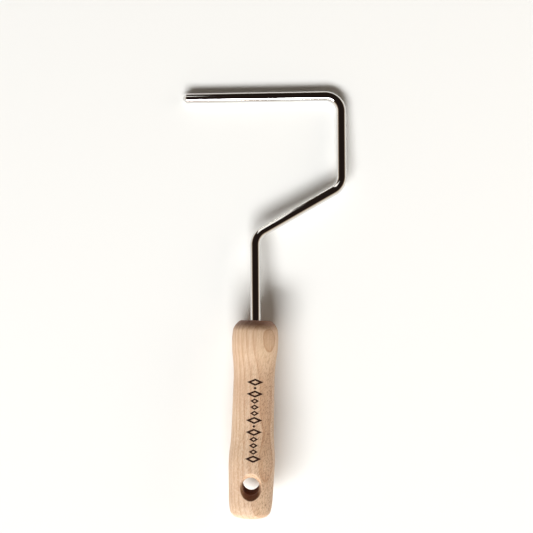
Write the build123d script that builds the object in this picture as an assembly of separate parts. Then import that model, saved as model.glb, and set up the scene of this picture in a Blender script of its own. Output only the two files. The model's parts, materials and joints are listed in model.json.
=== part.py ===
from build123d import *
import math
import os

# The handle half of a hand brayer, with no roller fitted: a bent wire frame whose
# free arm is the roller's spindle, and a turned beech grip driven onto its shank.
# Both pieces are drawn flat, in the tool's own plane, with the arm along X, its
# outer corner at the origin and the grip towards -Y. The tool is then tipped about
# the arm until it lies on a table, on the arm and on the grip's front swell.
# Lengths are millimetres and angles are degrees.

# Wire: quarter-inch bright rod, measured along its centreline from corner to corner
ROD_DIAMETER = 6.35
BEND_RADIUS = 10.0
ARM_LENGTH = 98.35
SIDE_LENGTH = 56.7
DIAGONAL_LENGTH = 61.7
SHANK_SHOWN = 51.95
SHANK_BURIED = 45.0
SIDE_TURN = -91.0
DIAGONAL_TURN = -60.0
SHANK_TURN = 60.5
TIP_CHAMFER = 2.2
BURIED_CHAMFER = 0.8

# Swaged ears: the wire is pinched so that it spreads sideways and bites the wood
EAR_COUNT = 2
EAR_PITCH = 14.0
EAR_SETBACK = 9.0
EAR_LENGTH = 7.0
EAR_HEIGHT = 0.8
EAR_THICKNESS = 2.4
PINCH_DEPTH = 0.5

# Grip: a turned outline through these stations, each (distance from front, diameter)
GRIP_LENGTH = 117.2
GRIP_CANT = -2.05
FACE_DIAMETER = 19.2
SHOULDER = (3.9, 26.55)
FRONT_SWELL = (12.0, 28.15)
WAIST = (36.0, 24.8)
BARREL_END = (62.0, 25.4)
REAR_SWELL = (86.5, 27.8)
HOLE_LAND = (89.0, 27.7)
LAND_END = (106.9, 26.2)
BUTT = (114.4, 24.1)
BUTT_FACE = (116.4, 20.6)
FRONT_OGEE_TURN = 0.37
REAR_OGEE_TURN = 0.6
FRONT_ROUND = 0.9
BUTT_ROUND = 2.2
DRILL_POINT_ANGLE = 118.0
BORE_SPARE_DEPTH = 2.0
BORE_LEAD = 1.0

# Hanging hole, drilled square to the tool's plane, with a bell mouth on each side
HOLE_DIAMETER = 10.2
HOLE_FROM_BUTT = 19.3
NECK_LENGTH = 14.6
MOUTH_RADIUS = 8.0
MOUTH_SWEEP = 66.0

TILT_STEPS = 4

rod_radius = ROD_DIAMETER / 2


def direction(heading):
    """Unit vector in the tool's plane, turned anticlockwise from +X."""
    return Vector(math.cos(math.radians(heading)), math.sin(math.radians(heading)))


def wire_legs():
    """Corner points of the wire from its free tip, and the heading of each leg."""
    legs = [
        (ARM_LENGTH, 0.0),
        (SIDE_LENGTH, SIDE_TURN),
        (DIAGONAL_LENGTH, DIAGONAL_TURN),
        (SHANK_SHOWN + SHANK_BURIED, SHANK_TURN),
    ]
    points, headings = [Vector(-ARM_LENGTH, 0)], []
    for length, turn in legs:
        headings.append(turn + (headings[-1] if headings else 0.0))
        points.append(points[-1] + direction(headings[-1]) * length)
    return points, headings


def along(start, heading):
    """Plane at start whose local X runs along the heading, flat in the tool's plane."""
    return Plane(origin=start, x_dir=direction(heading), z_dir=(0, 0, 1))


points, headings = wire_legs()
shank_heading = headings[-1]
front_centre = points[-2] + direction(shank_heading) * SHANK_SHOWN
shank_frame = along(front_centre, shank_heading)
grip_frame = along(front_centre, shank_heading + GRIP_CANT)


def ear_places():
    """Middle of each swaged ear, along the shank from the grip's front face."""
    last = SHANK_BURIED - EAR_SETBACK
    return [last - EAR_PITCH * i for i in range(EAR_COUNT)]


def ears():
    """The sideways spread of each pinch: a thin lens that stands out on both sides."""
    tops = rod_radius + EAR_HEIGHT
    half = EAR_LENGTH / 2
    lens = make_face(
        [
            ThreePointArc((-half, rod_radius / 2), (0, tops), (half, rod_radius / 2)),
            Line((half, rod_radius / 2), (half, -rod_radius / 2)),
            ThreePointArc((half, -rod_radius / 2), (0, -tops), (-half, -rod_radius / 2)),
            Line((-half, -rod_radius / 2), (-half, rod_radius / 2)),
        ]
    )
    one = extrude(lens, EAR_THICKNESS / 2, both=True)
    return [shank_frame * Pos(place, 0, 0) * one for place in ear_places()]


def pinches():
    """Flats that the swaging dies leave above and below each ear."""
    flat = Box(EAR_LENGTH / 2, ROD_DIAMETER, 2 * PINCH_DEPTH)
    return [
        shank_frame * Pos(place, 0, side * rod_radius) * flat
        for place in ear_places()
        for side in (-1, 1)
    ]


def wire_frame():
    """The whole bent wire: arm, side, diagonal and shank, with a pointed free tip."""
    path = FilletPolyline(*points, radius=BEND_RADIUS)
    wire = sweep(Plane(origin=points[0], z_dir=(1, 0, 0)) * Circle(rod_radius), path)
    wire = chamfer(wire.edges().sort_by(Axis.X)[0], TIP_CHAMFER)
    wire = chamfer(wire.edges().sort_by(Axis.Y)[0], BURIED_CHAMFER)
    return wire + ears() - pinches()


def ogee(start, end, turn):
    """Two arcs, level where they start and end, that meet on the chord at this share."""
    middle = (start[0] + (end[0] - start[0]) * turn, start[1] + (end[1] - start[1]) * turn)
    return [
        TangentArc(start, middle, tangent=(1, 0)),
        TangentArc(end, middle, tangent=(-1, 0)),
    ]


def grip_blank():
    """The turned form: chamfered front, swell, waist, rear swell with a straight land
    for the hanging hole, and a domed butt."""
    turned = [SHOULDER, FRONT_SWELL, WAIST, BARREL_END, REAR_SWELL, HOLE_LAND, LAND_END]
    side = [(distance, diameter / 2) for distance, diameter in turned + [BUTT, BUTT_FACE]]
    shoulder, front_swell, waist, barrel_end, rear_swell, land, land_end, butt, edge = side
    face_edge = (0, FACE_DIAMETER / 2)
    dome_end = (GRIP_LENGTH, 0)
    taper = (land_end[0] - land[0], land_end[1] - land[1])
    outline = make_face(
        [
            Line((0, 0), face_edge),
            Line(face_edge, shoulder),
            TangentArc(front_swell, shoulder, tangent=(-1, 0)),
            *ogee(front_swell, waist, FRONT_OGEE_TURN),
            Line(waist, barrel_end),
            *ogee(barrel_end, rear_swell, REAR_OGEE_TURN),
            TangentArc(rear_swell, land, tangent=(1, 0)),
            Line(land, land_end),
            TangentArc(land_end, butt, tangent=taper),
            Line(butt, edge),
            TangentArc(dome_end, edge, tangent=(0, 1)),
            Line(dome_end, (0, 0)),
        ]
    )
    rounds = {shoulder: FRONT_ROUND, butt: BUTT_ROUND, edge: BUTT_ROUND}
    for corner, radius in rounds.items():
        outline = fillet(outline.vertices().sort_by_distance(corner)[0], radius)
    return revolve(outline, Axis.X)


def shank_bore():
    """Blind hole for the shank: the drilled bore, its drill point and the ears' bite."""
    depth = SHANK_BURIED + BORE_SPARE_DEPTH
    point = rod_radius / math.tan(math.radians(DRILL_POINT_ANGLE / 2))
    half_section = Polyline(
        (-BORE_LEAD, 0),
        (-BORE_LEAD, rod_radius),
        (depth, rod_radius),
        (depth + point, 0),
        close=True,
    )
    bore = revolve(make_face(half_section), Axis.X)
    return [shank_frame * bore, *ears()]


def hanging_hole():
    """Hole through the grip, flared by a bell mouth where it meets each side."""
    neck, bore = NECK_LENGTH / 2, HOLE_DIAMETER / 2
    sweep = math.radians(MOUTH_SWEEP)
    top = neck + MOUTH_RADIUS * math.sin(sweep)
    rim = bore + MOUTH_RADIUS * (1 - math.cos(sweep))
    half_section = make_face(
        [
            Line((0, -top), (rim, -top)),
            TangentArc((bore, -neck), (rim, -top), tangent=(0, -1)),
            Line((bore, -neck), (bore, neck)),
            TangentArc((bore, neck), (rim, top), tangent=(0, 1)),
            Line((rim, top), (0, top)),
            Line((0, top), (0, -top)),
        ]
    )
    cutter = revolve(Plane.XZ * half_section, Axis.Z)
    return grip_frame * Pos(GRIP_LENGTH - HOLE_FROM_BUTT, 0, 0) * cutter


def grip():
    """The finished handle, canted a little on the shank as the drilled bore leaves it."""
    return grip_frame * grip_blank() - shank_bore() - hanging_hole()


def resting_tilt(handle):
    """Turn about the arm that brings the grip's swell down level with the arm."""
    tilt = 0.0
    for _ in range(TILT_STEPS):
        lowest = (Rot(X=-tilt) * handle).bounding_box().min.Z
        reach = SHANK_SHOWN + SIDE_LENGTH + DIAGONAL_LENGTH / 2
        tilt -= math.degrees((lowest + rod_radius) / reach)
    return tilt


def main():
    wire, handle = wire_frame(), grip()
    tilt = resting_tilt(handle)
    laid = Rot(X=-tilt) * Compound([wire, handle])
    box = laid.bounding_box()
    place = Pos(-box.center().X, -box.center().Y, -box.min.Z) * Rot(X=-tilt)
    os.makedirs("parts", exist_ok=True)
    export_step(place * wire, "parts/wire_frame.step")
    export_step(place * handle, "parts/handle.step")
    print("resting tilt", round(tilt, 3), "box", box.size)


main()
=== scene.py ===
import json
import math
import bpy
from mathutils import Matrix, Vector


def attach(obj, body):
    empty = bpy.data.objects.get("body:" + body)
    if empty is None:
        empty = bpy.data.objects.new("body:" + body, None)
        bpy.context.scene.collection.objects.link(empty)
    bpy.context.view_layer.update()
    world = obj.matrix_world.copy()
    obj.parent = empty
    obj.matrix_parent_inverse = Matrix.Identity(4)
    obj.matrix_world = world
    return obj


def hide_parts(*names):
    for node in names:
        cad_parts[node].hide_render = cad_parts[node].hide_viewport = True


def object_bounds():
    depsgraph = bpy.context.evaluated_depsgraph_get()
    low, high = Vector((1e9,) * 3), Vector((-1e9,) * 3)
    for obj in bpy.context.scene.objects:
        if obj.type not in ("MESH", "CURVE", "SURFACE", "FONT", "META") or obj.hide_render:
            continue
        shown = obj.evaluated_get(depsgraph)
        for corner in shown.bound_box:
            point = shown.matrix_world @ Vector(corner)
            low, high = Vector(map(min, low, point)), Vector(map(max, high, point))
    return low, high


bl_info = {
    "name": "Brayer Handle",
    "version": (1, 0, 0),
    "blender": (4, 5, 0),
    "location": "3D View > Sidebar > Brayer Handle",
    "description": "Handle of a hand brayer: a bent bright wire frame in a turned beech grip",
    "category": "Add Mesh",
}

import bmesh
import bpy
from bpy.props import FloatProperty, FloatVectorProperty, IntProperty, PointerProperty
from mathutils import Matrix, Vector

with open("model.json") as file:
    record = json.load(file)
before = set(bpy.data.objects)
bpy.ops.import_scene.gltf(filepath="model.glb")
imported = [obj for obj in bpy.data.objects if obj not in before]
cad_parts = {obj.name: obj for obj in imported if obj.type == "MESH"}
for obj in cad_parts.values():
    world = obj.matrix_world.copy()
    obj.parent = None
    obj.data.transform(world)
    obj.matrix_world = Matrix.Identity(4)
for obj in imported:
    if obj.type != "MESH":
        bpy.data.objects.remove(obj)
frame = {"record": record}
cad_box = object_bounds()

MM = 0.001
mounts = {mount["name"]: mount for mount in frame["record"]["mounts"]}
spindle = mounts["roller_spindle"]
hole = mounts["hanging_hole"]

# Where each turned station lies, measured from the grip's front face
SHOULDER_AT = 3.9 * MM
FRONT_SWELL_AT = 12.0 * MM
WAIST_AT = 36.0 * MM
BARREL_END_AT = 62.0 * MM
REAR_SWELL_AT = 86.5 * MM
LAND_AT = 89.0 * MM
LAND_END_AT = 106.9 * MM
BUTT_AT = 114.4 * MM
BUTT_EDGE_AT = 116.4 * MM

# Share of each ogee's run at which its two arcs meet
FRONT_OGEE_TURN = 0.37
REAR_OGEE_TURN = 0.6

# Lathe rings: their spacing, the least room before the butt, how close one is looked for,
# and the share of the butt's radius at each ring of the dome
FIRST_RING = 2.6 * MM
RING_STEP = 1.4 * MM
RING_ROOM = 2.0 * MM
RING_TOLERANCE = 0.05 * MM
DOME_SHARES = (0.84, 0.68, 0.5, 0.32, 0.14, 0.02)

# How far each edge of the grip, and of the wire's point, is eased
FACE_EASE = 1.1 * MM
SHOULDER_EASE = 2.2 * MM
BUTT_EASE = 0.75 * MM
BUTT_EDGE_EASE = 0.8 * MM
LIP_EASE = 0.35 * MM
TIP_EASE = 0.18 * MM
TIP_EDGE_ANGLE = math.radians(30)

# Fineness of the meshes, and the angle past which an edge stays crisp
BEND_STEP = math.radians(3)
FEWEST_BEND_STEPS = 8
HOLE_SIDES = 96
BORE_SIDES = 64
MARK_CUTS = 5
DOUBLES = 0.002 * MM
CRISP_STEEL = math.radians(25)
CRISP_WOOD = math.radians(28)

# Swaged ears: where each stands before the buried end, and the swell along its length
EARS_BEFORE_END = (23 * MM, 9 * MM)
EAR_HALF_LENGTH = 3.5 * MM
EAR_SPREAD = 1.18
EAR_PINCH = 0.86
EAR_CROWN_SPREAD = 1.06
EAR_CROWN_PINCH = 0.98
BURIED_CHAMFER = 0.8 * MM

# Shank bore, with the share of it that is left at the drill point's tip, and the bell
# mouths' flares in degrees
DRILL_POINT = math.radians(118)
BORE_CLEARANCE = 0.04 * MM
BORE_SPARE_DEPTH = 2 * MM
BORE_LEAD = 4 * MM
BORE_POLE = 0.02
FLARE_SWEEP = 66
FLARE_STEP = 6

# Lip of each bell mouth: how sharp its edge is, and how far out and how high it lies
LIP_ANGLE = math.radians(24)
LIP_REACH = 9.5 * MM
LIP_HEIGHT = 8 * MM

# Attribute of the grip's mesh for how squarely it faces the front, which lays painted shade on
# the front end, and the tint of drilled wood, browner and partly painted shade
FACES_FRONT = "faces_front"
DRILLED_BROWN_AND_SHADE = (0.8, 0.656, 0.576)

# Camera overhead, nearly over the middle of the tool; its lens is in millimetres
CAMERA_AT = (-0.59 * MM, 20.63 * MM, 500 * MM)
CAMERA_TURN = math.radians(-1)
CAMERA_LENS = 53.9

# Burned ornament: each mark is (along the grip, across it, width of its line)
TALL_MARK = (4.2 * MM, 9.8 * MM, 1.05 * MM)
SMALL_MARK = (3.2 * MM, 5.3 * MM, 0.85 * MM)
DOT_MARK = (1.9 * MM, 1.9 * MM, 0.0)
ORNAMENT_START = 34.4 * MM
ORNAMENT_SIDE = 0.9 * MM
ORNAMENT_GAP = 0.4 * MM
IRON_ABOVE = 20 * MM
IRON_PROUD = 0.4 * MM
BURN_DEPTH = 0.12 * MM


def linear(code):
    """Scene-linear colour from an sRGB hex code."""
    channels = [int(code[i : i + 2], 16) / 255 for i in (1, 3, 5)]
    return tuple(c / 12.92 if c <= 0.04045 else ((c + 0.055) / 1.055) ** 2.4 for c in channels)


class WireSizes(bpy.types.PropertyGroup):
    """Bends and lengths of the wire frame, from corner to corner on its centreline."""

    rod_diameter: FloatProperty(
        name="Rod Diameter",
        description="Thickness of the bright rod",
        default=2 * spindle["dims"]["r_mm"] * MM,
        unit="LENGTH",
    )
    bend_radius: FloatProperty(
        name="Bend Radius",
        description="Radius of each bend at the rod's centreline",
        default=10.0 * MM,
        unit="LENGTH",
    )
    spindle_length: FloatProperty(
        name="Spindle Length",
        description="Straight stretch of the arm that a roller turns on",
        default=spindle["dims"]["length_mm"] * MM,
        unit="LENGTH",
    )
    side_length: FloatProperty(
        name="Side Length",
        description="Corner to corner down the side of the frame",
        default=56.7 * MM,
        unit="LENGTH",
    )
    diagonal_length: FloatProperty(
        name="Diagonal Length",
        description="Corner to corner along the diagonal",
        default=61.7 * MM,
        unit="LENGTH",
    )
    shank_shown: FloatProperty(
        name="Shank Shown",
        description="Last corner to the grip's front face",
        default=51.95 * MM,
        unit="LENGTH",
    )
    shank_buried: FloatProperty(
        name="Shank Buried",
        description="Length of shank driven into the grip",
        default=45.0 * MM,
        unit="LENGTH",
    )
    side_turn: FloatProperty(
        name="Side Turn",
        description="Bend from the arm into the side",
        default=math.radians(-91.0),
        subtype="ANGLE",
    )
    diagonal_turn: FloatProperty(
        name="Diagonal Turn",
        description="Bend from the side into the diagonal",
        default=math.radians(-60.0),
        subtype="ANGLE",
    )
    shank_turn: FloatProperty(
        name="Shank Turn",
        description="Bend from the diagonal into the shank",
        default=math.radians(60.5),
        subtype="ANGLE",
    )
    tip_chamfer: FloatProperty(
        name="Tip Chamfer",
        description="Width of the point ground on the free tip",
        default=2.2 * MM,
        unit="LENGTH",
    )
    around: IntProperty(
        name="Sides",
        description="Faces round the rod",
        default=48,
        min=12,
    )


class GripSizes(bpy.types.PropertyGroup):
    """Turned diameters of the grip and the sizes of its hanging hole."""

    length: FloatProperty(
        name="Length",
        description="Front face to the top of the domed butt",
        default=117.2 * MM,
        unit="LENGTH",
    )
    cant: FloatProperty(
        name="Cant",
        description="Turn of the grip against the shank that it is driven on",
        default=math.radians(-2.05),
        subtype="ANGLE",
    )
    face: FloatProperty(
        name="Front Face",
        description="Diameter of the flat front face",
        default=19.2 * MM,
        unit="LENGTH",
    )
    shoulder: FloatProperty(
        name="Shoulder",
        description="Diameter where the front chamfer ends",
        default=26.55 * MM,
        unit="LENGTH",
    )
    front_swell: FloatProperty(
        name="Front Swell",
        description="Largest diameter near the front",
        default=28.15 * MM,
        unit="LENGTH",
    )
    waist: FloatProperty(
        name="Waist",
        description="Smallest diameter behind the front swell",
        default=24.8 * MM,
        unit="LENGTH",
    )
    barrel: FloatProperty(
        name="Barrel",
        description="Diameter where the long barrel ends",
        default=25.4 * MM,
        unit="LENGTH",
    )
    rear_swell: FloatProperty(
        name="Rear Swell",
        description="Largest diameter near the butt",
        default=27.8 * MM,
        unit="LENGTH",
    )
    land: FloatProperty(
        name="Land",
        description="Diameter where the land of the hanging hole begins",
        default=27.7 * MM,
        unit="LENGTH",
    )
    land_end: FloatProperty(
        name="Land End",
        description="Diameter where that land ends",
        default=26.2 * MM,
        unit="LENGTH",
    )
    butt: FloatProperty(
        name="Butt",
        description="Diameter where the butt's chamfer begins",
        default=24.1 * MM,
        unit="LENGTH",
    )
    butt_edge: FloatProperty(
        name="Butt Edge",
        description="Diameter where that chamfer meets the dome",
        default=20.6 * MM,
        unit="LENGTH",
    )
    hole_diameter: FloatProperty(
        name="Hole",
        description="Diameter of the hanging hole's neck",
        default=2 * hole["dims"]["r_mm"] * MM,
        unit="LENGTH",
    )
    neck_length: FloatProperty(
        name="Hole Neck",
        description="Straight wall of the hanging hole between its flares",
        default=hole["dims"]["length_mm"] * MM,
        unit="LENGTH",
    )
    mouth_radius: FloatProperty(
        name="Hole Flare",
        description="Radius of the bell mouth on each side of the hanging hole",
        default=8.0 * MM,
        unit="LENGTH",
    )
    around: IntProperty(
        name="Sides",
        description="Faces round the grip",
        default=128,
        min=24,
    )


class Finishes(bpy.types.PropertyGroup):
    """Colours of the wire, the wood, the burned marks and the floor."""

    steel: FloatVectorProperty(
        name="Plated Steel",
        description="Mirror colour of the plated rod",
        subtype="COLOR",
        default=linear("#DDDCDA"),
        min=0.0,
        max=1.0,
    )
    beech: FloatVectorProperty(
        name="Beech",
        description="Pale wood between the growth rings",
        subtype="COLOR",
        default=linear("#DFC8AF"),
        min=0.0,
        max=1.0,
    )
    late_wood: FloatVectorProperty(
        name="Late Wood",
        description="Darker line that ends each growth ring",
        subtype="COLOR",
        default=linear("#BE9878"),
        min=0.0,
        max=1.0,
    )
    fleck: FloatVectorProperty(
        name="Fleck",
        description="Short brown flecks of the wood's rays",
        subtype="COLOR",
        default=linear("#997459"),
        min=0.0,
        max=1.0,
    )
    scorch: FloatVectorProperty(
        name="Scorch",
        description="Charred wood in the burned marks",
        subtype="COLOR",
        default=linear("#2A130B"),
        min=0.0,
        max=1.0,
    )
    floor: FloatVectorProperty(
        name="Floor",
        description="Pale matte floor",
        subtype="COLOR",
        default=linear("#EDEDEB"),
        min=0.0,
        max=1.0,
    )


# ---- Where the tool lies -------------------------------------------------------------


def tool_place(wire):
    """Matrix from the flat tool, with its outer corner at the origin, to where it lies."""
    rise = Vector(hole["axis"])
    reach = spindle["dims"]["length_mm"] * MM / 2 + corner_setback(wire, wire.side_turn)
    corner = Vector(spindle["pos_m"]) - Vector(spindle["axis"]) * reach
    tilt = math.atan2(rise.y, rise.z)
    return Matrix.Translation(corner) @ Matrix.Rotation(-tilt, 4, "X")


def corner_setback(wire, turn):
    """Distance from a corner to where its bend begins."""
    return wire.bend_radius * math.tan(abs(turn) / 2)


def heading_vector(heading):
    return Vector((math.cos(heading), math.sin(heading), 0))


def front_face(wire):
    """Centre of the grip's front face and the shank's heading, on the flat tool."""
    place, heading = Vector((0, 0, 0)), 0.0
    for length, turn in (
        (wire.side_length, wire.side_turn),
        (wire.diagonal_length, wire.diagonal_turn),
        (wire.shank_shown, wire.shank_turn),
    ):
        heading += turn
        place = place + heading_vector(heading) * length
    return place, heading


def grip_place(wire, grip):
    """Matrix from the grip, turned along X from its front face, to where it lies."""
    place, heading = front_face(wire)
    along = Matrix.Rotation(heading + grip.cant, 4, "Z")
    return tool_place(wire) @ Matrix.Translation(place) @ along


# ---- Bench helpers -------------------------------------------------------------------


def pick_up(piece):
    """Makes this piece the only selected one."""
    bpy.ops.object.select_all(action="DESELECT")
    piece.select_set(True)
    bpy.context.view_layer.objects.active = piece


def named(name):
    """Names the piece that was just added and applies its place."""
    piece = bpy.context.active_object
    piece.name = piece.data.name = name
    pick_up(piece)
    bpy.ops.object.transform_apply(location=True, rotation=True, scale=True)
    return piece


def lay(piece, place):
    """Moves the piece by a matrix and leaves the move in its mesh."""
    pick_up(piece)
    piece.matrix_world = place
    bpy.ops.object.transform_apply(location=True, rotation=True, scale=True)


def shape(piece):
    """Opens the piece in edit mode with everything selected."""
    pick_up(piece)
    bpy.ops.object.mode_set(mode="EDIT")
    bpy.ops.mesh.select_mode(type="VERT")
    bpy.ops.mesh.select_all(action="SELECT")


def put_down():
    bpy.ops.object.mode_set(mode="OBJECT")


def select_edges(piece, wanted):
    """Selects the edges of the piece in edit mode that the test wants."""
    bpy.ops.mesh.select_mode(type="EDGE")
    bpy.ops.mesh.select_all(action="DESELECT")
    work = bmesh.from_edit_mesh(piece.data)
    work.normal_update()
    found = [edge for edge in work.edges if wanted(edge)]
    for edge in found:
        edge.select_set(True)
    bmesh.update_edit_mesh(piece.data)
    if not found:
        raise RuntimeError(f"no edge of {piece.name} was found to work on")


def cut(piece, cutter):
    """Cuts the cutter out of the piece, with the cutter's material on the new faces."""
    pick_up(piece)
    modifier = piece.modifiers.new("cut", "BOOLEAN")
    modifier.operation = "DIFFERENCE"
    modifier.solver = "EXACT"
    modifier.object = cutter
    bpy.ops.object.modifier_apply(modifier=modifier.name)
    bpy.data.objects.remove(cutter)


def finish_surface(piece, crisp):
    """Merges doubles, turns every face outwards and shades over edges that aren't crisp."""
    shape(piece)
    bpy.ops.mesh.remove_doubles(threshold=DOUBLES)
    bpy.ops.mesh.normals_make_consistent(inside=False)
    put_down()
    bpy.ops.object.shade_smooth_by_angle(angle=crisp)


def stand_for(piece, node):
    """Lets the finished piece take the place of a CAD node."""
    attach(piece, "root")
    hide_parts(node)


# ---- Materials -----------------------------------------------------------------------


def new_material(name):
    """A node material with its principled shader."""
    old = bpy.data.materials.get(name)
    if old:
        bpy.data.materials.remove(old)
    material = bpy.data.materials.new(name)
    material.use_nodes = True
    return material, material.node_tree, material.node_tree.nodes["Principled BSDF"]


def add(tree, kind, settings=None, **links):
    """Adds a node, sets its properties and sockets, and links its inputs.

    settings holds properties by name, socket values by (socket,) and a ramp's stops as
    (position, grey or colour); links hold an input's name, with _ for a space, or i and
    its number, and the output that feeds it.
    """
    node = tree.nodes.new(kind)
    for key, value in (settings or {}).items():
        if isinstance(key, tuple):
            node.inputs[key[0]].default_value = value
        elif key == "stops":
            band = node.color_ramp.elements
            while len(band) < len(value):
                band.new(0.5)
            for element, (position, tone) in zip(band, value):
                element.position = position
                element.color = (*tone, 1) if isinstance(tone, tuple) else (tone, tone, tone, 1)
        else:
            setattr(node, key, value)
    for key, output in links.items():
        socket = int(key[1:]) if key[0] == "i" and key[1:].isdigit() else key.replace("_", " ")
        tree.links.new(output, node.inputs[socket])
    return node


def plated_steel(finishes):
    """Bright nickel-chrome plate over cold-drawn wire, polished.

    It gives the eye a hard mirror: near-black where it sees the dark room above, with
    white bands where it sees the lights and the floor. Faint drawing waves left under
    the plate keep those bands from being ruler-straight.
    """
    material, tree, shader = new_material("plated_drawn_steel")
    shader.inputs["Base Color"].default_value = (*finishes.steel, 1)
    shader.inputs["Metallic"].default_value = 1.0
    place = add(tree, "ShaderNodeTexCoord").outputs["Object"]
    # waves about 9 mm long, and handling haze in patches about 14 mm across
    waves = add(
        tree,
        "ShaderNodeTexNoise",
        {("Scale",): 1 / (9 * MM), ("Detail",): 1.0, ("Roughness",): 0.4},
        Vector=place,
    )
    haze = add(
        tree,
        "ShaderNodeTexNoise",
        {("Scale",): 1 / (14 * MM), ("Detail",): 3.0},
        Vector=place,
    )
    gloss = add(
        tree,
        "ShaderNodeValToRGB",
        {"stops": [(0.35, 0.05), (0.7, 0.1)]},
        Fac=haze.outputs["Fac"],
    )
    tree.links.new(gloss.outputs["Color"], shader.inputs["Roughness"])
    bump = add(
        tree,
        "ShaderNodeBump",
        {("Strength",): 0.02, ("Distance",): 0.004 * MM},
        Height=waves.outputs["Fac"],
    )
    tree.links.new(bump.outputs["Normal"], shader.inputs["Normal"])
    return material


def beech_coordinates(tree, place):
    """Object coordinates turned so that X runs down the grip from its front face."""
    return add(
        tree,
        "ShaderNodeMapping",
        {
            "vector_type": "TEXTURE",
            ("Location",): place.to_translation(),
            ("Rotation",): place.to_euler(),
        },
        Vector=add(tree, "ShaderNodeTexCoord").outputs["Object"],
    ).outputs["Vector"]


def growth_rings(tree, grain):
    """Share of late wood: rings round a heart that lay below and to the left."""
    # the heart is a little out of line with the grip, so rings close into loops on it
    heart = add(
        tree,
        "ShaderNodeMapping",
        {
            "vector_type": "POINT",
            ("Location",): (0, 27 * MM, 33 * MM),
            ("Rotation",): (0, math.radians(1.4), math.radians(-1.0)),
        },
        Vector=grain,
    ).outputs["Vector"]
    sway = add(
        tree,
        "ShaderNodeTexNoise",
        {("Scale",): 1 / (26 * MM), ("Detail",): 2.0},
        Vector=grain,
    )
    swayed = add(
        tree,
        "ShaderNodeVectorMath",
        {"operation": "MULTIPLY_ADD", (1,): (0, 0.8 * MM, 0.8 * MM)},
        i0=sway.outputs["Color"],
        i2=heart,
    ).outputs["Vector"]
    # rings 2.7 mm apart: a wave's rings are 2 pi / 20 units apart at scale 1
    rings = add(
        tree,
        "ShaderNodeTexWave",
        {
            "wave_type": "RINGS",
            "rings_direction": "X",
            "wave_profile": "SAW",
            ("Scale",): 2 * math.pi / 20 / (2.7 * MM),
            ("Phase Offset",): 3.57,
            ("Distortion",): 0.9,
            ("Detail",): 2.0,
            ("Detail Scale",): 0.6,
        },
        Vector=swayed,
    )
    # drawn sharp on the inner side of each line, fading outwards
    return add(
        tree,
        "ShaderNodeValToRGB",
        {"stops": [(0.0, 0.08), (0.45, 0.1), (0.5, 0.9), (0.55, 0.5), (1.0, 0.08)]},
        Fac=rings.outputs["Fac"],
    ).outputs["Color"]


def grain_streaks(tree, grain):
    """Noise drawn out along the grain, in streaks 0.8 mm wide and 9 mm long."""
    streak_place = add(
        tree,
        "ShaderNodeMapping",
        {("Scale",): (1 / 9, 1 / 0.8, 1 / 0.8)},
        Vector=grain,
    ).outputs["Vector"]
    return add(
        tree,
        "ShaderNodeTexNoise",
        {("Scale",): 1 / MM, ("Detail",): 3.0, ("Roughness",): 0.6},
        Vector=streak_place,
    ).outputs["Fac"]


def ray_marks(tree, grain, slant, width, faint, full):
    """Share of short ray marks, about 2.2 mm long, that slant across the grain.

    On the real wood they are about 0.2 mm wide. They are drawn wider, so that they show.
    """
    slanted = add(
        tree,
        "ShaderNodeMapping",
        {
            "vector_type": "TEXTURE",
            ("Rotation",): (0, 0, math.radians(slant)),
            ("Scale",): (2.2, width, width),
        },
        Vector=grain,
    ).outputs["Vector"]
    marks = add(
        tree,
        "ShaderNodeTexNoise",
        {("Scale",): 1 / MM, ("Detail",): 1.0},
        Vector=slanted,
    )
    return add(
        tree,
        "ShaderNodeValToRGB",
        {"stops": [(faint, 0.0), (full, 1.0)]},
        Fac=marks.outputs["Fac"],
    ).outputs["Color"]


def dark_flecks(tree, grain, side):
    """Share of dark flecks, which gather to the right of the top, behind the swell."""
    mask = ray_marks(tree, grain, -32, 0.5, 0.53, 0.62)
    rightness = add(
        tree,
        "ShaderNodeMapRange",
        {
            ("From Min",): -9 * MM,
            ("From Max",): 9 * MM,
            ("To Min",): 0.18,
            ("To Max",): 0.8,
        },
        Value=side.outputs["Y"],
    ).outputs["Result"]
    behind_swell = add(
        tree,
        "ShaderNodeMapRange",
        {
            ("From Min",): 14 * MM,
            ("From Max",): 44 * MM,
            ("To Min",): 0.25,
            ("To Max",): 1.0,
        },
        Value=side.outputs["X"],
    ).outputs["Result"]
    gathered = add(
        tree, "ShaderNodeMath", {"operation": "MULTIPLY"}, i0=rightness, i1=behind_swell
    ).outputs["Value"]
    return add(
        tree, "ShaderNodeMath", {"operation": "MULTIPLY"}, i0=mask, i1=gathered
    ).outputs["Value"]


def painted_ray_sheen(tree, grain, side):
    """Share of pale ray ticks, on the other slant: painted sheen where rays catch the light, laid
    only low on the left.
    """
    mask = ray_marks(tree, grain, 30, 0.55, 0.55, 0.66)
    backness = add(
        tree,
        "ShaderNodeMapRange",
        {
            ("From Min",): 30 * MM,
            ("From Max",): 75 * MM,
            ("To Min",): 0.05,
            ("To Max",): 0.45,
        },
        Value=side.outputs["X"],
    ).outputs["Result"]
    leftness = add(
        tree,
        "ShaderNodeMapRange",
        {("From Min",): 6 * MM, ("From Max",): -6 * MM},
        Value=side.outputs["Y"],
    ).outputs["Result"]
    lit_low_left = add(
        tree, "ShaderNodeMath", {"operation": "MULTIPLY"}, i0=leftness, i1=backness
    ).outputs["Value"]
    return add(
        tree, "ShaderNodeMath", {"operation": "MULTIPLY"}, i0=mask, i1=lit_low_left
    ).outputs["Value"]


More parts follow.
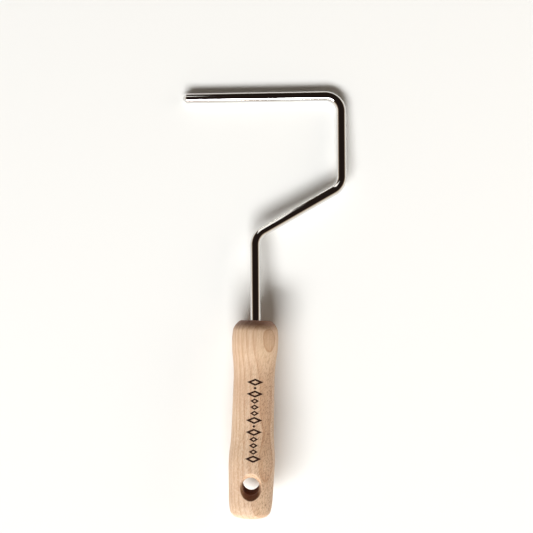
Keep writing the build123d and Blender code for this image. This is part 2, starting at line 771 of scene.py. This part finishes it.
def steamed_wood(tree, grain, streaks, finishes):
    """Colour of the bare wood: growth rings, rosier and yellower patches, and streaks."""
    ringed = add(
        tree,
        "ShaderNodeMix",
        {"data_type": "RGBA", (6,): (*finishes.beech, 1), (7,): (*finishes.late_wood, 1)},
        Factor=growth_rings(tree, grain),
    ).outputs[2]
    patches = add(
        tree,
        "ShaderNodeTexNoise",
        {("Scale",): 1 / (30 * MM), ("Detail",): 2.0},
        Vector=grain,
    )
    blush = add(
        tree,
        "ShaderNodeValToRGB",
        {"stops": [(0.3, linear("#FFF6E6")), (0.7, linear("#F6E4D8"))]},
        Fac=patches.outputs["Fac"],
    )
    rosy = add(
        tree,
        "ShaderNodeMix",
        {"data_type": "RGBA", "blend_type": "MULTIPLY", (0,): 0.55},
        i6=ringed,
        i7=blush.outputs["Color"],
    ).outputs[2]
    shade = add(
        tree,
        "ShaderNodeValToRGB",
        {"stops": [(0.3, linear("#EDE3DA")), (0.62, 1.0)]},
        Fac=streaks,
    )
    return add(
        tree,
        "ShaderNodeMix",
        {"data_type": "RGBA", "blend_type": "MULTIPLY", (0,): 1.0},
        i6=rosy,
        i7=shade.outputs["Color"],
    ).outputs[2]


def lathe_finished_beech(finishes, place, drilled=False):
    """Steamed beech, turned, sanded along the lathe and given one thin satin coat.

    It gives the eye warm pale wood with soft growth rings that close into a loop on the
    front swell, fine grain streaks, and the short brown ray flecks that mark beech.
    Where it is drilled it has no lacquer and is quite matt, and browner: partly its own tone,
    partly painted shade on the hole's walls.
    """
    name = "drilled_beech_and_painted_shade" if drilled else "turned_lacquered_beech"
    material, tree, shader = new_material(name)
    grain = beech_coordinates(tree, place)
    side = add(tree, "ShaderNodeSeparateXYZ", Vector=grain)
    streaks = grain_streaks(tree, grain)
    fleck_share = dark_flecks(tree, grain, side)
    flecked = add(
        tree,
        "ShaderNodeMix",
        {"data_type": "RGBA", (7,): (*finishes.fleck, 1)},
        Factor=fleck_share,
        i6=steamed_wood(tree, grain, streaks, finishes),
    ).outputs[2]
    # pale ticks of painted sheen, where the rays catch the light on the left
    ray_sheened = add(
        tree,
        "ShaderNodeMix",
        {"data_type": "RGBA", (7,): (*linear("#EBD8C0"), 1)},
        Factor=painted_ray_sheen(tree, grain, side),
        i6=flecked,
    ).outputs[2]

    # painted shade on the front end: its open end grain is a little browner, but most of this
    # darkening stands in for the shade on the front chamfer, which faces away from the key light
    faces_front = add(tree, "ShaderNodeAttribute", {"attribute_name": FACES_FRONT})
    front_shade_share = add(
        tree,
        "ShaderNodeMapRange",
        {"interpolation_type": "SMOOTHSTEP", ("From Min",): 0.15, ("From Max",): 0.85},
        Value=faces_front.outputs["Fac"],
    ).outputs["Result"]
    shown = add(
        tree,
        "ShaderNodeMix",
        {"data_type": "RGBA", "blend_type": "MULTIPLY", (7,): (*linear("#A88370"), 1)},
        Factor=front_shade_share,
        i6=ray_sheened,
    ).outputs[2]
    # drilled walls: browner unlacquered wood, darkened further with painted shade of the hole
    if drilled:
        shown = add(
            tree,
            "ShaderNodeMix",
            {"data_type": "RGBA", "blend_type": "MULTIPLY", (0,): 1.0, (7,): (*DRILLED_BROWN_AND_SHADE, 1)},
            i6=shown,
        ).outputs[2]
        shader.inputs["Specular IOR Level"].default_value = 0.1
    tree.links.new(shown, shader.inputs["Base Color"])

    roughest, smoothest = (0.9, 0.8) if drilled else (0.58, 0.46)
    satin = add(
        tree,
        "ShaderNodeValToRGB",
        {"stops": [(0.3, roughest), (0.7, smoothest)]},
        Fac=streaks,
    )
    tree.links.new(satin.outputs["Color"], shader.inputs["Roughness"])
    shader.inputs["IOR"].default_value = 1.5
    pores = add(
        tree, "ShaderNodeMath", {"operation": "SUBTRACT"}, i0=streaks, i1=fleck_share
    ).outputs["Value"]
    bump = add(
        tree,
        "ShaderNodeBump",
        {("Strength",): 0.5, ("Distance",): 0.05 * MM},
        Height=pores,
    )
    tree.links.new(bump.outputs["Normal"], shader.inputs["Normal"])
    return material


def scorched_beech(finishes, place):
    """Beech branded with a hot iron: a thin skin of char, browner where the iron cooled.

    It gives the eye matt dark-brown marks that are not quite even.
    """
    material, tree, shader = new_material("branded_beech_char")
    grain = beech_coordinates(tree, place)
    # uneven heat in patches about 1.5 mm across
    heat = add(
        tree,
        "ShaderNodeTexNoise",
        {("Scale",): 1 / (1.5 * MM), ("Detail",): 2.0},
        Vector=grain,
    )
    char = add(
        tree,
        "ShaderNodeValToRGB",
        {"stops": [(0.45, tuple(finishes.scorch)), (0.85, linear("#4A2818"))]},
        Fac=heat.outputs["Fac"],
    )
    tree.links.new(char.outputs["Color"], shader.inputs["Base Color"])
    shader.inputs["Roughness"].default_value = 0.8
    shader.inputs["Specular IOR Level"].default_value = 0.2
    bump = add(
        tree,
        "ShaderNodeBump",
        {("Strength",): 0.4, ("Distance",): 0.05 * MM},
        Height=heat.outputs["Fac"],
    )
    tree.links.new(bump.outputs["Normal"], shader.inputs["Normal"])
    return material


def matte_floor(finishes):
    """A sheet of matt white card, which gives the eye plain ground and soft shadows."""
    material, tree, shader = new_material("matt_white_card")
    place = add(tree, "ShaderNodeTexCoord").outputs["Object"]
    # paper tooth about 0.8 mm across
    tooth = add(
        tree, "ShaderNodeTexNoise", {("Scale",): 1 / (0.8 * MM), ("Detail",): 2.0}, Vector=place
    )
    shader.inputs["Base Color"].default_value = (*finishes.floor, 1)
    shader.inputs["Roughness"].default_value = 0.9
    shader.inputs["Specular IOR Level"].default_value = 0.2
    bump = add(
        tree,
        "ShaderNodeBump",
        {("Strength",): 0.05, ("Distance",): 0.05 * MM},
        Height=tooth.outputs["Fac"],
    )
    tree.links.new(bump.outputs["Normal"], shader.inputs["Normal"])
    return material


# ---- Wire frame ----------------------------------------------------------------------


def draw_out(place, heading, length, swell=(1.0, 1.0)):
    """Draws the wire's end face on along its heading, and swells it across and through."""
    step = heading_vector(heading) * length
    bpy.ops.mesh.extrude_region_move(TRANSFORM_OT_translate={"value": step})
    place = place + step
    across, through = swell
    if swell != (1.0, 1.0):
        bpy.ops.transform.resize(
            value=(across, across if abs(math.cos(heading)) > 0.5 else 1.0, through),
            center_override=place,
        )
    return place


def bend(place, heading, turn, radius):
    """Bends the wire's end face round a former of this radius."""
    side = 1 if turn > 0 else -1
    left = Vector((-math.sin(heading), math.cos(heading), 0))
    centre = place + left * radius * side
    steps = max(FEWEST_BEND_STEPS, round(abs(turn) / BEND_STEP))
    # the spin tool counts clockwise as positive
    bpy.ops.mesh.spin(
        steps=steps, angle=-turn, dupli=False, center=centre, axis=(0, 0, 1), use_auto_merge=False
    )
    return centre - Matrix.Rotation(turn, 3, "Z") @ (centre - place), heading + turn


def bend_wire(wire):
    """The rod from its pointed tip, bent three times, with the buried end swaged."""
    radius = wire.rod_diameter / 2
    flat = radius - wire.tip_chamfer
    arm = wire.spindle_length + corner_setback(wire, wire.side_turn)
    place = Vector((-arm - wire.tip_chamfer, 0, 0))
    bpy.ops.object.select_all(action="DESELECT")
    bpy.ops.mesh.primitive_circle_add(
        vertices=wire.around,
        radius=flat,
        fill_type="NGON",
        location=place,
        rotation=(0, math.pi / 2, 0),
    )
    rod = named("bright_wire_frame")
    shape(rod)
    grow = radius / flat
    place = draw_out(place, 0.0, wire.tip_chamfer, (grow, grow))
    place = draw_out(place, 0.0, wire.spindle_length)
    heading = 0.0
    lengths = [wire.side_length, wire.diagonal_length, wire.shank_shown]
    turns = [wire.side_turn, wire.diagonal_turn, wire.shank_turn]
    for i, (length, turn) in enumerate(zip(lengths, turns)):
        place, heading = bend(place, heading, turn, wire.bend_radius)
        after = corner_setback(wire, turns[i + 1]) if i + 1 < len(turns) else 0.0
        place = draw_out(place, heading, length - corner_setback(wire, turn) - after)
    # two pairs of swaged ears bite the wood: the rod spreads sideways as it is pinched
    reach = 0.0
    for before_end in EARS_BEFORE_END:
        ear = wire.shank_buried - before_end
        for share, swell in (
            (-1.0, (1.0, 1.0)),
            (-0.5, (EAR_SPREAD, EAR_PINCH)),
            (0.0, (EAR_CROWN_SPREAD, EAR_CROWN_PINCH)),
            (0.5, (1 / EAR_CROWN_SPREAD, 1 / EAR_CROWN_PINCH)),
            (1.0, (1 / EAR_SPREAD, 1 / EAR_PINCH)),
        ):
            at = ear + EAR_HALF_LENGTH * share
            place = draw_out(place, heading, at - reach, swell)
            reach = at
    place = draw_out(place, heading, wire.shank_buried - BURIED_CHAMFER - reach)
    place = draw_out(place, heading, BURIED_CHAMFER)
    shrink = (radius - BURIED_CHAMFER) / radius
    bpy.ops.transform.resize(value=(shrink, shrink, shrink), center_override=place)
    put_down()
    return rod


class BRAYER_OT_wire_frame(bpy.types.Operator):
    """Draw, bend and point the bright wire frame"""

    bl_idname = "brayer.wire_frame"
    bl_label = "Wire Frame"
    bl_options = {"REGISTER", "UNDO"}

    def execute(self, context):
        wire = context.scene.brayer_wire
        rod = bend_wire(wire)
        lay(rod, tool_place(wire))
        shape(rod)
        bpy.ops.mesh.normals_make_consistent(inside=False)
        put_down()
        # grinding leaves the point's edges a touch round
        edge = rod.modifiers.new("eased_edges", "BEVEL")
        edge.limit_method = "ANGLE"
        edge.angle_limit = TIP_EDGE_ANGLE
        edge.width = TIP_EASE
        edge.segments = 3
        pick_up(rod)
        bpy.ops.object.modifier_apply(modifier=edge.name)
        finish_surface(rod, CRISP_STEEL)
        rod.data.materials.append(plated_steel(context.scene.brayer_finishes))
        stand_for(rod, "wire_frame")
        return {"FINISHED"}


# ---- Grip ----------------------------------------------------------------------------


def arc_sag(span, rise, at):
    """Height off the level start of an arc that rises this much over this span."""
    if abs(rise) < 1e-9:
        return 0.0
    radius = (span * span + rise * rise) / (2 * abs(rise))
    return math.copysign(radius - math.sqrt(radius * radius - at * at), rise)


def ogee_radius(at, start, end, turn):
    """Radius along two arcs, level at start and end, that meet on their chord."""
    (a, ra), (b, rb) = start, end
    middle, rm = a + (b - a) * turn, ra + (rb - ra) * turn
    if at <= middle:
        return ra + arc_sag(middle - a, rm - ra, at - a)
    return rb + arc_sag(b - middle, rm - rb, b - at)


def tangent_arc_radius(at, start, end, slope):
    """Radius along the arc that leaves start at this slope and ends at end."""
    run, rise = end[0] - start[0], end[1] - start[1]
    lead = math.atan(slope)
    forward = run * math.cos(lead) + rise * math.sin(lead)
    aside = rise * math.cos(lead) - run * math.sin(lead)
    curve = (forward * forward + aside * aside) / (2 * aside)
    centre = (start[0] - curve * math.sin(lead), start[1] + curve * math.cos(lead))
    reach = math.sqrt(curve * curve - (at - centre[0]) ** 2)
    return centre[1] + (reach if curve < 0 else -reach)


def turned_radius(at, grip):
    """Radius of the turned side of the grip at this distance from its front face."""
    swell = (FRONT_SWELL_AT, grip.front_swell / 2)
    waist = (WAIST_AT, grip.waist / 2)
    barrel = (BARREL_END_AT, grip.barrel / 2)
    rear = (REAR_SWELL_AT, grip.rear_swell / 2)
    land = (LAND_AT, grip.land / 2)
    land_end = (LAND_END_AT, grip.land_end / 2)
    slope = (land_end[1] - land[1]) / (land_end[0] - land[0])
    if at <= swell[0]:
        rise = grip.shoulder / 2 - swell[1]
        return swell[1] + arc_sag(swell[0] - SHOULDER_AT, rise, swell[0] - at)
    if at <= waist[0]:
        return ogee_radius(at, swell, waist, FRONT_OGEE_TURN)
    if at <= barrel[0]:
        return waist[1] + (barrel[1] - waist[1]) * (at - waist[0]) / (barrel[0] - waist[0])
    if at <= rear[0]:
        return ogee_radius(at, barrel, rear, REAR_OGEE_TURN)
    if at <= land[0]:
        return rear[1] + arc_sag(land[0] - rear[0], land[1] - rear[1], at - rear[0])
    if at <= land_end[0]:
        return land[1] + slope * (at - land[0])
    return tangent_arc_radius(at, land_end, (BUTT_AT, grip.butt / 2), slope)


def on_ring(edge, at):
    """True for an edge that runs round the turned grip at this distance."""
    return all(abs(v.co.x - at) < RING_TOLERANCE for v in edge.verts)


def turn_blank(grip):
    """The wood on the lathe: each ring is drawn back from the last and set to size."""
    radius = grip.face / 2
    bpy.ops.object.select_all(action="DESELECT")
    bpy.ops.mesh.primitive_circle_add(
        vertices=grip.around,
        radius=radius,
        fill_type="NGON",
        rotation=(0, math.pi / 2, 0),
    )
    blank = named("turned_grip")
    shape(blank)

    # the last ring before the butt is left out where it would crowd the butt's own
    stops = [SHOULDER_AT, SHOULDER_AT + FIRST_RING]
    while stops[-1] < BUTT_AT - RING_ROOM:
        stops.append(stops[-1] + RING_STEP)
    rings = [(at, turned_radius(at, grip)) for at in [*stops[:-1], BUTT_AT]]
    rings.append((BUTT_EDGE_AT, grip.butt_edge / 2))
    # the dome: an arc from the chamfer's edge to the middle of the butt
    rise = grip.length - BUTT_EDGE_AT
    for share in DOME_SHARES:
        out = grip.butt_edge / 2 * share
        rings.append((grip.length - arc_sag(grip.butt_edge / 2, rise, out), out))
    at = 0.0
    for next_at, next_radius in rings:
        bpy.ops.mesh.extrude_region_move(
            TRANSFORM_OT_translate={"value": (next_at - at, 0, 0)}
        )
        grow = next_radius / radius
        bpy.ops.transform.resize(value=(1, grow, grow), center_override=(next_at, 0, 0))
        at, radius = next_at, next_radius

    for place, width, segments in (
        (0.0, FACE_EASE, 5),
        (SHOULDER_AT, SHOULDER_EASE, 9),
        (BUTT_AT, BUTT_EASE, 5),
        (BUTT_EDGE_AT, BUTT_EDGE_EASE, 5),
    ):
        select_edges(blank, lambda edge, at=place: on_ring(edge, at))
        bpy.ops.mesh.bevel(offset=width, offset_type="OFFSET", segments=segments, profile=0.5)
    bpy.ops.mesh.select_all(action="SELECT")
    bpy.ops.mesh.normals_make_consistent(inside=False)
    put_down()
    return blank


def bell_cutter(grip):
    """A cutter for the hanging hole: a straight neck that flares both ways, along Z."""
    bore, neck = grip.hole_diameter / 2, grip.neck_length / 2
    sweep = [math.radians(a) for a in range(FLARE_STEP, FLARE_SWEEP + 1, FLARE_STEP)]
    flare = [
        (bore + grip.mouth_radius * (1 - math.cos(a)), neck + grip.mouth_radius * math.sin(a))
        for a in sweep
    ]
    walls = [(bore, neck * share) for share in (-1, -0.5, 0, 0.5, 1)]
    rings = [(r, -z) for r, z in reversed(flare)] + walls + flare
    radius, at = rings[0]
    bpy.ops.object.select_all(action="DESELECT")
    bpy.ops.mesh.primitive_circle_add(
        vertices=HOLE_SIDES, radius=radius, fill_type="NGON", location=(0, 0, at)
    )
    cutter = named("bell_cutter")
    shape(cutter)
    for next_radius, next_at in rings[1:]:
        bpy.ops.mesh.extrude_region_move(
            TRANSFORM_OT_translate={"value": (0, 0, next_at - at)}
        )
        grow = next_radius / radius
        bpy.ops.transform.resize(value=(grow, grow, 1), center_override=(0, 0, next_at))
        radius, at = next_radius, next_at
    bpy.ops.mesh.normals_make_consistent(inside=False)
    put_down()
    return cutter


def drill(wire, grip):
    """A drill for the shank's blind bore, with its point, along X from before the face."""
    depth = wire.shank_buried + BORE_SPARE_DEPTH
    radius = wire.rod_diameter / 2 + BORE_CLEARANCE
    bpy.ops.object.select_all(action="DESELECT")
    bpy.ops.mesh.primitive_circle_add(
        vertices=BORE_SIDES,
        radius=radius,
        fill_type="NGON",
        location=(-BORE_LEAD, 0, 0),
        rotation=(0, math.pi / 2, 0),
    )
    bit = named("drill")
    shape(bit)
    bpy.ops.mesh.extrude_region_move(TRANSFORM_OT_translate={"value": (BORE_LEAD + depth, 0, 0)})
    point = radius / math.tan(DRILL_POINT / 2)
    bpy.ops.mesh.extrude_region_move(TRANSFORM_OT_translate={"value": (point, 0, 0)})
    tip = (depth + point, 0, 0)
    bpy.ops.transform.resize(value=(1, BORE_POLE, BORE_POLE), center_override=tip)
    bpy.ops.mesh.normals_make_consistent(inside=False)
    put_down()
    lay(bit, Matrix.Rotation(-grip.cant, 4, "Z"))
    return bit


def lozenge(at, side, long, wide, stroke):
    """One lozenge of the branding iron, flat over the grip: solid if it has no stroke."""
    bpy.ops.mesh.primitive_circle_add(
        vertices=4, radius=1, fill_type="NGON", location=(at, side, IRON_ABOVE)
    )
    mark = bpy.context.active_object
    mark.scale = (long / 2, wide / 2, 1)
    mark = named("lozenge")
    shape(mark)
    if stroke:
        bpy.ops.mesh.inset(thickness=stroke, depth=0)
        bpy.ops.mesh.delete(type="FACE")
    else:
        bpy.ops.mesh.poke()
    bpy.ops.mesh.select_all(action="SELECT")
    bpy.ops.mesh.subdivide(number_cuts=MARK_CUTS)
    put_down()
    return mark


def branding_iron(blank):
    """The burned ornament's iron: a run of tall and small lozenges, bent to the wood."""
    marks = []
    run = [TALL_MARK, DOT_MARK, TALL_MARK, SMALL_MARK, SMALL_MARK, SMALL_MARK]
    at = ORNAMENT_START
    for long, wide, stroke in run * 2 + [TALL_MARK]:
        marks.append(lozenge(at + long / 2, ORNAMENT_SIDE, long, wide, stroke))
        at += long + ORNAMENT_GAP
    bpy.ops.object.select_all(action="DESELECT")
    for mark in marks:
        mark.select_set(True)
    bpy.context.view_layer.objects.active = marks[0]
    bpy.ops.object.join()
    iron = named("branding_iron")
    wrap = iron.modifiers.new("bent_to_wood", "SHRINKWRAP")
    wrap.target = blank
    wrap.wrap_method = "PROJECT"
    wrap.use_project_z = True
    wrap.use_negative_direction = True
    wrap.use_positive_direction = False
    bpy.ops.object.modifier_apply(modifier=wrap.name)
    # part of the iron's thickness stays above the wood, so the cut leaves no skin
    wall = iron.modifiers.new("depth", "SOLIDIFY")
    wall.thickness = IRON_PROUD + BURN_DEPTH
    wall.offset = 1 - 2 * BURN_DEPTH / wall.thickness
    bpy.ops.object.modifier_apply(modifier=wall.name)
    shape(iron)
    bpy.ops.mesh.normals_make_consistent(inside=False)
    put_down()
    return iron


def on_bell_lip(edge, neck_at):
    """True for a sharp edge where a bell mouth comes out of the grip."""
    sharp = len(edge.link_faces) == 2 and edge.calc_face_angle() > LIP_ANGLE
    return sharp and all(
        math.hypot(v.co.x - neck_at, v.co.y) < LIP_REACH and abs(v.co.z) > LIP_HEIGHT
        for v in edge.verts
    )


def mark_front_shade_facing(blank, place):
    """Stores how squarely each corner of the laid grip faces the way its front does, which places
    the painted shade on the front end.
    """
    front = place.to_3x3() @ Vector((-1, 0, 0))
    facing = blank.data.attributes.new(FACES_FRONT, "FLOAT", "CORNER")
    for corner, normal in zip(facing.data, blank.data.corner_normals):
        corner.value = normal.vector.dot(front)


class BRAYER_OT_grip(bpy.types.Operator):
    """Turn, bore, brand and finish the beech grip"""

    bl_idname = "brayer.grip"
    bl_label = "Grip"
    bl_options = {"REGISTER", "UNDO"}

    def execute(self, context):
        wire, grip = context.scene.brayer_wire, context.scene.brayer_grip
        finishes = context.scene.brayer_finishes
        place = grip_place(wire, grip)
        blank = turn_blank(grip)
        materials = [
            lathe_finished_beech(finishes, place),
            scorched_beech(finishes, place),
            lathe_finished_beech(finishes, place, drilled=True),
        ]
        turned, burned, drilled = range(3)
        for material in materials:
            blank.data.materials.append(material)

        iron = branding_iron(blank)
        bell = bell_cutter(grip)
        neck_at = (place.inverted() @ Vector(hole["pos_m"])).x
        lay(bell, Matrix.Translation((neck_at, 0, 0)))
        for cutter, left_by_it in ((iron, burned), (drill(wire, grip), drilled), (bell, drilled)):
            for material in materials:
                cutter.data.materials.append(material)
            for face in cutter.data.polygons:
                flared = cutter == bell and abs(face.center.z) > grip.neck_length / 2
                face.material_index = turned if flared else left_by_it
            cut(blank, cutter)

        # hand sanding eases the lip of each bell mouth
        shape(blank)
        select_edges(blank, lambda edge: on_bell_lip(edge, neck_at))
        bpy.ops.mesh.bevel(
            offset=LIP_EASE, offset_type="OFFSET", segments=3, profile=0.5, clamp_overlap=True
        )
        put_down()
        finish_surface(blank, CRISP_WOOD)
        lay(blank, place)
        mark_front_shade_facing(blank, place)
        stand_for(blank, "handle")
        return {"FINISHED"}


# ---- Stage ---------------------------------------------------------------------------


def soft_box(name, azimuth, elevation, distance, size, power, colour, target):
    """A rectangular soft light at this azimuth and elevation, turned to the target."""
    back = Vector(
        (
            math.cos(math.radians(azimuth)) * math.cos(math.radians(elevation)),
            math.sin(math.radians(azimuth)) * math.cos(math.radians(elevation)),
            math.sin(math.radians(elevation)),
        )
    )
    bpy.ops.object.light_add(type="AREA", location=target + back * distance)
    lamp = bpy.context.active_object
    lamp.name = lamp.data.name = name
    lamp.rotation_euler = back.to_track_quat("Z", "Y").to_euler()
    lamp.data.shape = "RECTANGLE"
    lamp.data.size, lamp.data.size_y = size
    lamp.data.energy = power
    lamp.data.color = colour
    lamp.visible_camera = False
    return lamp


def dim_room():
    """A room dark overhead, dimmer on the far side and pale towards the near horizon."""
    world = bpy.data.worlds.new("dim_room")
    world.use_nodes = True
    tree = world.node_tree
    look = add(tree, "ShaderNodeTexCoord").outputs["Generated"]
    split = add(tree, "ShaderNodeSeparateXYZ", Vector=look)
    height = add(
        tree,
        "ShaderNodeMath",
        {"operation": "MULTIPLY_ADD", (1,): 0.3},
        i0=split.outputs["Y"],
        i2=split.outputs["Z"],
    ).outputs["Value"]
    tones = [
        (0.0, linear("#F1E3D2")),
        (0.14, linear("#E4D3BE")),
        (0.3, linear("#AC9A86")),
        (0.46, linear("#473728")),
        (0.58, linear("#251C18")),
    ]
    tone = add(tree, "ShaderNodeValToRGB", {"stops": tones}, Fac=height).outputs["Color"]
    background = tree.nodes["Background"]
    tree.links.new(tone, background.inputs["Color"])
    background.inputs["Strength"].default_value = 1.0
    bpy.context.scene.world = world


class BRAYER_OT_stage(bpy.types.Operator):
    """Lay the floor, hang the soft lights and set the camera overhead"""

    bl_idname = "brayer.stage"
    bl_label = "Stage"
    bl_options = {"REGISTER", "UNDO"}

    def execute(self, context):
        low, high = cad_box
        middle = (low + high) / 2
        bpy.ops.object.select_all(action="DESELECT")
        bpy.ops.mesh.primitive_plane_add(size=30.0, location=(0, 0, low.z))
        floor = named("floor")
        floor.data.materials.append(matte_floor(context.scene.brayer_finishes))

        target = Vector((middle.x, middle.y, low.z))
        # the window light, far enough off to fall evenly on the floor
        soft_box(
            "key",
            azimuth=250,
            elevation=40,
            distance=6.0,
            size=(5.4, 1.6),
            power=635,
            colour=(0.99, 1.0, 1.0),
            target=target,
        )
        # a pale card that only the wire's reflections show
        card = soft_box(
            "card",
            azimuth=119,
            elevation=30,
            distance=1.2,
            size=(0.32, 0.9),
            power=1.25,
            colour=(1.0, 0.97, 0.92),
            target=target,
        )
        card.visible_diffuse = False
        # warm light back from the right, which nothing reflects
        fill = soft_box(
            "fill",
            azimuth=8,
            elevation=22,
            distance=1.2,
            size=(0.9, 0.5),
            power=3.0,
            colour=(1.0, 0.91, 0.8),
            target=target,
        )
        fill.visible_glossy = False
        dim_room()

        bpy.ops.object.camera_add(location=CAMERA_AT, rotation=(0, 0, CAMERA_TURN))
        camera = context.active_object
        camera.name = camera.data.name = "overhead"
        camera.data.sensor_width = 36.0
        camera.data.lens = CAMERA_LENS
        context.scene.camera = camera
        context.scene.view_settings.view_transform = "Standard"
        return {"FINISHED"}


class BRAYER_PT_panel(bpy.types.Panel):
    """Pieces of the brayer handle and its stage"""

    bl_label = "Brayer Handle"
    bl_idname = "BRAYER_PT_panel"
    bl_space_type = "VIEW_3D"
    bl_region_type = "UI"
    bl_category = "Brayer Handle"

    def draw(self, context):
        for operator in (BRAYER_OT_wire_frame, BRAYER_OT_grip, BRAYER_OT_stage):
            self.layout.operator(operator.bl_idname)
        for title, name in (
            ("Wire", "brayer_wire"),
            ("Grip", "brayer_grip"),
            ("Finishes", "brayer_finishes"),
        ):
            group = getattr(context.scene, name)
            box = self.layout.box()
            box.label(text=title)
            for key in type(group).__annotations__:
                box.prop(group, key)


classes = (
    WireSizes,
    GripSizes,
    Finishes,
    BRAYER_OT_wire_frame,
    BRAYER_OT_grip,
    BRAYER_OT_stage,
    BRAYER_PT_panel,
)


def register():
    for cls in classes:
        bpy.utils.register_class(cls)
    bpy.types.Scene.brayer_wire = PointerProperty(type=WireSizes)
    bpy.types.Scene.brayer_grip = PointerProperty(type=GripSizes)
    bpy.types.Scene.brayer_finishes = PointerProperty(type=Finishes)


def unregister():
    del bpy.types.Scene.brayer_finishes
    del bpy.types.Scene.brayer_grip
    del bpy.types.Scene.brayer_wire
    for cls in reversed(classes):
        bpy.utils.unregister_class(cls)


def main():
    register()
    bpy.ops.brayer.wire_frame()
    bpy.ops.brayer.grip()
    bpy.ops.brayer.stage()


if __name__ == "__main__":
    main()
